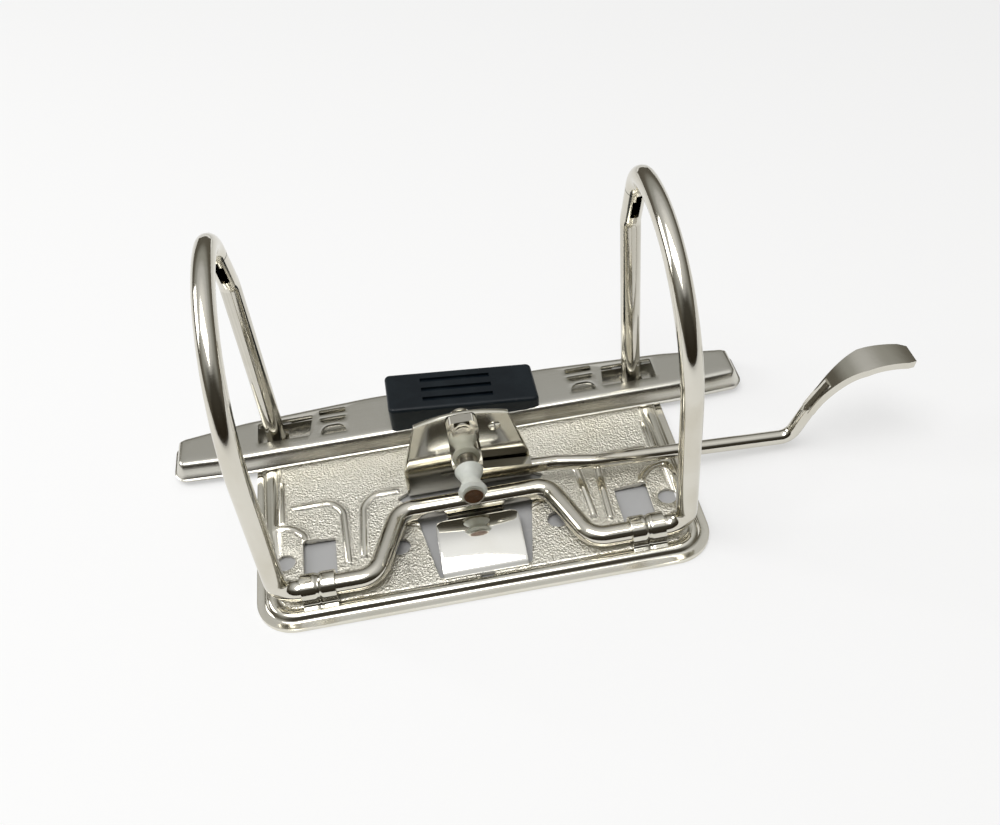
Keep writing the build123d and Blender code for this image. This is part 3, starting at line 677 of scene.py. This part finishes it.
foot, tip = 13.0, 9.1
blank = [(-foot - 2.6, bracket_y), (-foot - 0.05, bracket_y + 1.5), (foot + 0.05, bracket_y + 1.5),
         (foot + 2.6, bracket_y), (foot, bracket_y - 2.6), (foot - 1.4, bracket_y - 8.4),
         (tip, post_y - 45.6), (-tip, post_y - 45.6), (-foot + 1.4, bracket_y - 8.4),
         (-foot, bracket_y - 2.6)]
hook = [(-1.6, post_y - 46.5), (-0.9, post_y - 47.6), (1.1, post_y - 47.6), (1.8, post_y - 46.5),
        (1.2, post_y - 46.1), (-1.0, post_y - 46.1)]
window = [(-post_x + 4.5, hinge_y + 2.96), (-post_x + 11.2, hinge_y + 2.96), (-post_x + 11.2, post_y - 30.5),
          (-post_x + 4.5, post_y - 30.5)]
plate_holes = [rounded_corners(blank, 0.5, steps=3), hook, rounded_corners(window, 0.5, steps=3),
               rounded_corners(mirrored(window), 0.5, steps=3)]
for side in (-1, 1):
    plate_holes += [circle(side * mount_x, -mount_y, 2.0), circle(side * mount_x, mount_y, 2.0),
                    circle(side * 16.0, post_y - 35.9, 2.1)]
bends = [plate_outline(d) for d in (0.3, 1.4, 1.7, 2.0, 2.3, 2.7, 3.3, 3.7, 4.0, 4.3, 4.7)]
rib_sides = [offset_line(path, side * r) for path in rib_paths for side in (-1, 1) for r in (0.3, 0.62, 1.0)]
flat, faces = flat_sheet(plate_outline(0.0), plate_holes, bends, rib_sides + rib_paths, 0.62)
plate = sheet_piece("plate_sheet", flat, faces, plate_height, sheet, 0.12)

places = np.array([v.co for v in plate.data.vertices]) / MM
field = soft_step(4.5, 5.0, plate_inset(places[:, :2])) * (1 - soft_step(0.05, 0.6, rib_lift(places[:, :2])))
grain_mark = plate.data.attributes.new("grain", "FLOAT", "POINT")
grain_mark.data.foreach_set("value", field.astype(np.float32))
finish_piece(plate, "blasted", "frame")

# %% [markdown]
# ## Bearing bracket
# A tongue of the same sheet, cut free and bent up. It is brighter than the pan, since
# the blasted die never touched it. A grid of rows up the tongue is shaped by two
# formulas, its width at each height and its crowned top, with a slight bow across it.

# %% bearing bracket
def bracket_half_width(z):
    return np.interp(z, [0.0, 8.4, 20.4, 22.4], [13.0, 13.0, 9.5, 9.1])


def grid_piece(name, rows, columns, place):
    """A sheet from a grid: place(row share, column share) gives each point in mm."""
    mesh = bpy.data.meshes.new(name)
    points = [Vector(place(r / (rows - 1), c / (columns - 1))) * MM
              for r in range(rows) for c in range(columns)]
    quads = [(r * columns + c, r * columns + c + 1, (r + 1) * columns + c + 1, (r + 1) * columns + c)
             for r in range(rows - 1) for c in range(columns - 1)]
    mesh.from_pydata(points, [], quads)
    piece = bpy.data.objects.new(name, mesh)
    bpy.context.scene.collection.objects.link(piece)
    return piece


BEND_R, FOOT_RUN = 1.6, 0.12


def bracket_point(up, across):
    side = 2 * across - 1
    crown = 20.4 + 1.85 * (1 - side * side)
    if up < FOOT_RUN:
        turn = math.radians(90 * up / FOOT_RUN)
        y = bracket_y + BEND_R * (1 - math.sin(turn))
        z = pan_top - sheet + BEND_R * (1 - math.cos(turn))
    else:
        share = (up - FOOT_RUN) / (1 - FOOT_RUN)
        base = pan_top - sheet + BEND_R
        z = base + share * (crown - base)
        y = bracket_y + 0.30 * share * side * side
    return (side * float(bracket_half_width(z)), y, z)


bracket = grid_piece("bearing_bracket", 40, 41, bracket_point)
thicken(bracket, sheet, 0.14)
finish_piece(bracket, "polished", "frame")

# %% lanced nib on the bracket
SLIT_HALF = 0.14    # half the slit between the nib's two halves


def nib_half(name, side):
    """Half of the small raised nib: a quarter dome with a flat inner wall."""
    body = bmesh.new()
    bmesh.ops.create_uvsphere(body, u_segments=24, v_segments=14, radius=1.3 * MM)
    bmesh.ops.bisect_plane(body, geom=body.verts[:] + body.edges[:] + body.faces[:],
                           plane_co=(SLIT_HALF * side * MM, 0, 0), plane_no=(-side, 0, 0), clear_outer=True)
    edges = [e for e in body.edges if e.is_boundary]
    bmesh.ops.edgeloop_fill(body, edges=edges)
    for v in body.verts:
        v.co.y *= 0.28
        v.co.z *= 0.85
        v.co += Vector((6.5, bracket_y + 0.02, 17.4)) * MM
    mesh = bpy.data.meshes.new(name)
    body.to_mesh(mesh)
    body.free()
    piece = bpy.data.objects.new(name, mesh)
    bpy.context.scene.collection.objects.link(piece)
    return settle(piece)


for label, side in (("nib_left", -1), ("nib_right", 1)):
    finish_piece(nib_half(label, side), "polished", "frame")

# %% [markdown]
# ## Hinge clips
# Each clip is a strip of the pan rolled over the wire, staked with a groove across its
# middle, with its end flared on the pan. A line drawn in side view, swept along the
# hinge, is all it takes: the groove is a dip of that line's radius near the middle.

# %% hinge clips
def clip_profile():
    """Side view of the clip's outer face, as (outward direction, point) from the hinge."""
    r = wire_r + 0.06 + sheet
    line = [((1, 0), (r, z)) for z in (-hinge_z + 0.5, -1.6, -0.8)]
    line += [((math.cos(a), math.sin(a)), (r * math.cos(a), r * math.sin(a)))
             for a in np.radians(np.linspace(0, 180, 25))]
    line += [((-1, 0), (-r, z)) for z in (-0.5, -1.0)]
    line += [((-0.7, 0.7), (-r - 0.12, -1.35)), ((-0.3, 0.95), (-r - 0.4, -1.55))]
    line += [((0, 1), (-r - 0.95, -1.62))]
    return line


def hinge_clip(name, x0, x1):
    profile = clip_profile()

    def place(along, across):
        (ny, nz), (y, z) = profile[round(across * (len(profile) - 1))]
        x = x0 + along * (x1 - x0)
        dip = 0.28 * math.exp(-((x - (x0 + x1) / 2) / 0.42) ** 2)
        return (x, hinge_y + y - dip * ny, hinge_z + z - dip * nz)

    piece = grid_piece(name, 41, len(profile), place)
    thicken(piece, sheet * 0.93, 0.12)
    return finish_piece(piece, "polished", "frame")


hinge_clip("left_hinge_clip", -post_x + 4.5, -post_x + 11.2)
hinge_clip("right_hinge_clip", post_x - 11.2, post_x - 4.5)
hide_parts("base_plate")

# %% [markdown]
# ## The leaf spring
# Bright hard strip, hooked at the front. Its narrower tongue bears up under the yoke.
# It is bowed along its length and very slightly across, which is what bends the reflections.

# %% leaf spring
spring_low, spring_high = (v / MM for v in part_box("leaf_spring"))
spring_half = (spring_high.x - spring_low.x) / 2
STRIP = 0.45
leaf_end = post_y - 33.2


def leaf_height(y):
    """Middle line of the leaf, front to bend."""
    front, low, high = spring_low.y + 1.5, 1.48, 3.3
    s = np.clip((y - front) / (leaf_end - front), 0, 1)
    return low + (high - low) * s + 4 * 1.0 * s * (1 - s)


def leaf_point(along, across):
    side = 2 * across - 1
    y = spring_low.y + 0.25 + along * (leaf_end - spring_low.y - 0.25)
    left = leaf_end - y
    corner = 1.6
    half = spring_half
    if left < corner:
        half -= corner - math.sqrt(max(corner ** 2 - (corner - left) ** 2, 0.0))
    z = float(leaf_height(y)) - 0.22 * side * side * math.sin(math.pi * along)
    return (side * half, y, z + STRIP / 2)


def tongue_point(along, across):
    side = 2 * across - 1
    start, end = leaf_end - 1.2, spring_high.y - 0.15
    y = start + along * (end - start)
    drop = soft_step(0.0, 0.75, along)
    z = 3.05 * (1 - drop) + (spring_low.z + STRIP / 2 + 0.05) * drop
    return (side * (6.3 - 0.5 * along), y, float(z) + STRIP / 2)


for label, rows, place in (("spring_leaf", 44, leaf_point), ("spring_tongue", 24, tongue_point)):
    piece = grid_piece(label, rows, 31, place)
    thicken(piece, STRIP, 0.08)
    piece.data.materials.append(FINISH["mirror"])
    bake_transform(piece)
    print(label, len(piece.data.polygons), "faces")
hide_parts("leaf_spring")

# %% [markdown]
# ## The compressor bar
# A long channel pressed from sheet: a flat satin top, rolled shoulders and a flange
# all round. The same flat-then-lifted way works, because the flange is just a steep
# part of the height formula near the edge.

# %% compressor bar
bar_low, bar_high = (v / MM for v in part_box("compressor_bar"))
bar_mid = (bar_low.x + bar_high.x) / 2
bar_end = (bar_high.x - bar_low.x) / 2
flare = (bar_high.z - bar_low.z) * math.tan(math.radians(20))


def bar_outline():
    """Counter-clockwise foot line of the flange, from the front left."""
    b, shoulder, taper = bar_end, 47.0 + flare * 0.4, 20.0
    front, back = -7.2 - flare, 6.0 + flare
    right = [(b - 1.6, front + 0.8), (b, front + 2.8), (b, 1.8 + flare * 0.4), (b - 1.8, 2.3 + flare)]
    corners = [(shoulder, front)] + right + [(shoulder, 4.4 + flare), (taper, back)]
    corners += [(-x, y) for x, y in reversed(corners)]
    return [(bar_mid + x, post_y + y) for x, y in rounded_corners(corners, 1.6, steps=4)]


bar_edge = bar_outline()
flange_in = [0.0, 0.32, 0.50, 0.75, 1.00, 1.25, 1.50, 1.80, 2.20, 2.60]
flange_up = [0.0, 0.10, 0.42, 1.15, 1.90, 2.55, 2.98, 3.24, 3.37, 3.40]


def bar_height(x, y):
    d = away_from(bar_edge, np.column_stack((x, y)), closed=True)
    return bar_low.z + np.interp(d, flange_in, flange_up)


bar_holes = []


def cut(points, corner):
    """A hole in the bar: points are (x, y from the posts' row), its corners rounded."""
    bar_holes.append(rounded_corners([(x, post_y + y) for x, y in points], corner, steps=3))


for side in (-1, 1):
    def across(inner, outer):
        a, b = bar_mid + side * inner, bar_mid + side * outer
        return (a, b) if a < b else (b, a)
    x0, x1 = across(32.2, 44.4)
    skew = 0.9 if side < 0 else -0.9
    cut([(x0, -3.6), (x1 - max(skew, 0), -3.6), (x1, 2.8), (x0 + max(-skew, 0), 2.8)], 0.5)
    x0, x1 = across(24.9, 30.8)
    cut([(x0, 2.2), (x1, 2.2), (x1, 3.8), (x0, 3.8)], 0.4)
    cut([(x0 + 0.8, -0.5), (x1 - 0.8, -0.5), (x1, 0.4), (x1, 1.2), (x0, 1.2), (x0, 0.4)], 0.6)
    cut([(x0, -4.1), (x1, -4.1), (x1 - 0.5, -2.3), (x1 - 1.6, -1.3), (x0 + 1.6, -1.3), (x0 + 0.5, -2.3)], 0.6)
flat, faces = flat_sheet(bar_edge, bar_holes, [offset_loop(bar_edge, d) for d in flange_in[1:]], [], 1.1)
bar = sheet_piece("pressed_bar", flat, faces, bar_height, 0.7, 0.10)
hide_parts("compressor_bar")
finish_piece(bar, "satin", "bar")

# %% [markdown]
# ## The roller pin's end
# The pin is cut to length after plating, so its end is bare and has browned, inside a
# bright rim. A turned profile of four rings makes the shallow dish of the cut.

# %% roller pin's end
pin_low, pin_high = (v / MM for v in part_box("roller_pin"))
pin_z = (pin_low.z + pin_high.z) / 2
pin_face_r = (pin_high.z - pin_low.z) / 2


def turned(name, profile, place, turns=40):
    """A disc about a line along Y: profile is (radius, y) from the rim to the middle."""
    body = bmesh.new()
    rings = []
    for r, y in profile:
        around = [2 * math.pi * k / turns for k in range(turns)]
        rings.append([body.verts.new(Vector((r * math.cos(a), y, r * math.sin(a))) * MM) for a in around])
    for outer, inner in zip(rings, rings[1:]):
        for k in range(turns):
            body.faces.new((outer[k], outer[(k + 1) % turns], inner[(k + 1) % turns], inner[k]))
    body.faces.new(rings[-1])
    bmesh.ops.recalc_face_normals(body, faces=body.faces[:])
    mesh = bpy.data.meshes.new(name)
    body.to_mesh(mesh)
    body.free()
    mesh.transform(Matrix.Translation(Vector(place) * MM))
    piece = bpy.data.objects.new(name, mesh)
    bpy.context.scene.collection.objects.link(piece)
    return settle(piece)


end_profile = [(pin_face_r - 0.22, 0.02), (pin_face_r - 0.28, -0.06), (pin_face_r - 0.55, -0.045),
               (pin_face_r * 0.4, -0.03), (0.15, -0.025)]
finish_piece(turned("pin_end_face", end_profile, (0, pin_low.y, pin_z)), "brown", "lever")

# %% [markdown]
# ## The studio
# Bright metal shows the room more than itself. The room here is a pale floor, a wide
# soft lamp overhead, a paler wall behind and a dim side towards the viewer, which is
# what draws the dark lines along the wires. The camera sees a white floor and room by
# colour, never by stronger lamps. Metal sees less of that white: part of the floor's
# glow, and the room's white only low down on the far sides. The floor has a painted
# shadow: it is painted grey under the plate and the bar, at rest, so that the openings
# there don't show white.

# %% floor
FLOOR_GLOW = 0.45        # share of the floor that shines white by itself
MIRRORED_GLOW = 0.30     # the same share where the floor is seen in metal


# rectangles of painted shadow on the floor, under the plate and the bar at rest
UNDER_PLATE = (0.0, (plate_low.y + plate_high.y) / 2, (plate_high.x - plate_low.x) / 2 - 4.0,
               (plate_high.y - plate_low.y) / 2 - 4.0)
UNDER_BAR = (bar_mid, post_y - 1.0, bar_end - 17.0, 5.0)


def under_sheet(tree, at, area):
    """1 under a rectangle given as (x, y, half width, half depth) in mm, 0 outside."""
    x, y, half_x, half_y = (v * MM for v in area)
    dx = math_node(tree, "ABSOLUTE", (math_node(tree, "SUBTRACT", (at, "X"), x), 0))
    dy = math_node(tree, "ABSOLUTE", (math_node(tree, "SUBTRACT", (at, "Y"), y), 0))
    in_x = math_node(tree, "LESS_THAN", (dx, 0), half_x)
    in_y = math_node(tree, "LESS_THAN", (dy, 0), half_y)
    return math_node(tree, "MULTIPLY", (in_x, 0), (in_y, 0))


def floor_material():
    material = bpy.data.materials.new("pale_floor")
    material.use_nodes = True
    tree = material.node_tree
    tree.nodes.clear()
    out = tree.nodes.new("ShaderNodeOutputMaterial")
    matt = node(tree, "ShaderNodeBsdfDiffuse", Color=(0.90, 0.90, 0.90, 1.0))
    glow = node(tree, "ShaderNodeEmission", Color=(1.0, 1.0, 1.0, 1.0), Strength=1.0)
    path = node(tree, "ShaderNodeLightPath")
    mirrored = math_node(tree, "MAXIMUM", (path, "Is Glossy Ray"), (path, "Is Transmission Ray"))
    share = math_node(tree, "MULTIPLY", (path, "Is Camera Ray"), FLOOR_GLOW)
    # painted shadow: grey floor colour, and no glow, under the plate and the bar
    place = node(tree, "ShaderNodeTexCoord")
    at = node(tree, "ShaderNodeSeparateXYZ", i0=(place, "Object"))
    under = under_sheet(tree, at, UNDER_PLATE)
    under = math_node(tree, "MAXIMUM", (under, 0), (under_sheet(tree, at, UNDER_BAR), 0))
    painted_floor_shadow = ramp(tree, (under, 0), [(0.0, 0.90), (1.0, 0.42)])
    tree.links.new(painted_floor_shadow.outputs["Color"], matt.inputs["Color"])
    mirrored = math_node(tree, "MULTIPLY", (mirrored, 0), MIRRORED_GLOW)
    share = math_node(tree, "MAXIMUM", (share, 0), (mirrored, 0))
    clear = math_node(tree, "SUBTRACT", 1.0, (under, 0))
    share = math_node(tree, "MULTIPLY", (share, 0), (clear, 0))
    mix = node(tree, "ShaderNodeMixShader", i0=(share, 0))
    tree.links.new(matt.outputs[0], mix.inputs[1])
    tree.links.new(glow.outputs[0], mix.inputs[2])
    tree.links.new(mix.outputs[0], out.inputs[0])
    return material


floor_mesh = bpy.data.meshes.new("floor")
reach = 3.0
floor_mesh.from_pydata([(-reach, -reach, 0), (reach, -reach, 0), (reach, reach, 0), (-reach, reach, 0)], [],
                       [(0, 1, 2, 3)])
floor = bpy.data.objects.new("floor", floor_mesh)
bpy.context.scene.collection.objects.link(floor)
floor.location.z = cad_low.z - 0.00002
floor_mesh.materials.append(floor_material())
print("floor at", round(floor.location.z / MM, 3), "mm")

# %% room
world = bpy.data.worlds.new("room")
bpy.context.scene.world = world
world.use_nodes = True
tree = world.node_tree
tree.nodes.clear()
out = tree.nodes.new("ShaderNodeOutputWorld")
way = node(tree, "ShaderNodeTexCoord")
axes = node(tree, "ShaderNodeSeparateXYZ", i0=(way, "Generated"))
# the room by height of the direction: 0 at the horizon, 1 overhead
walls = ramp(tree, (axes, "Z"), [(0.0, (0.10, 0.09, 0.07)), (0.30, (0.13, 0.12, 0.10)),
                                 (0.60, (0.36, 0.36, 0.34)), (0.80, (0.60, 0.60, 0.60)),
                                 (1.0, (0.95, 0.95, 0.95))], "EASE")
# the viewer's side, which is dim
toward = math_node(tree, "MULTIPLY", (axes, "Y"), -1.0)
front = ramp(tree, (toward, 0), [(0.30, 0.0), (0.75, 1.0)], "EASE")
dim = ramp(tree, (axes, "Z"), [(0.0, (0.025, 0.019, 0.012)), (0.70, (0.06, 0.055, 0.045)),
                               (0.86, (0.75, 0.75, 0.75))], "EASE")
room = node(tree, "ShaderNodeMix", {"data_type": "RGBA"}, i0=(front, "Color"), i6=(walls, "Color"),
            i7=(dim, "Color"))
# a pale backdrop round the far sides, low down, seen by the camera and in metal
low_band = ramp(tree, (axes, "Z"), [(0.03, 1.0), (0.07, 0.0)], "EASE")
far_side = math_node(tree, "SUBTRACT", 1.0, (front, "Color"))
backdrop = math_node(tree, "MULTIPLY", (low_band, "Color"), (far_side, 0))
path = node(tree, "ShaderNodeLightPath")
mirrored = math_node(tree, "MAXIMUM", (path, "Is Glossy Ray"), (path, "Is Transmission Ray"))
mirrored = math_node(tree, "MULTIPLY", (mirrored, 0), (backdrop, 0))
pale = math_node(tree, "MAXIMUM", (path, "Is Camera Ray"), (mirrored, 0))
shown = node(tree, "ShaderNodeMix", {"data_type": "RGBA"},
             i0=(pale, 0), i6=(room, 2), i7=(1.0, 1.0, 1.0, 1.0))
background = node(tree, "ShaderNodeBackground", Color=(shown, 2), Strength=1.0)
tree.links.new(background.outputs[0], out.inputs[0])
bpy.context.scene.view_settings.view_transform = "Standard"
print("room ready")

# %% lamps
def soft_lamp(name, place, target, size, watts):
    data = bpy.data.lights.new(name, "AREA")
    data.shape = "RECTANGLE"
    data.size, data.size_y = size
    data.energy = watts
    lamp = bpy.data.objects.new(name, data)
    bpy.context.scene.collection.objects.link(lamp)
    lamp.location = place
    lamp.rotation_euler = (Vector(target) - Vector(place)).to_track_quat("-Z", "Y").to_euler()
    return lamp


centre = (cad_low + cad_high) / 2
soft_lamp("overhead", centre + Vector((-0.15, -0.15, 0.75)), centre, (0.60, 0.40), 3.3)
soft_lamp("left_window", centre + Vector((-0.75, 0.25, 0.45)), centre, (0.45, 0.35), 1.9)
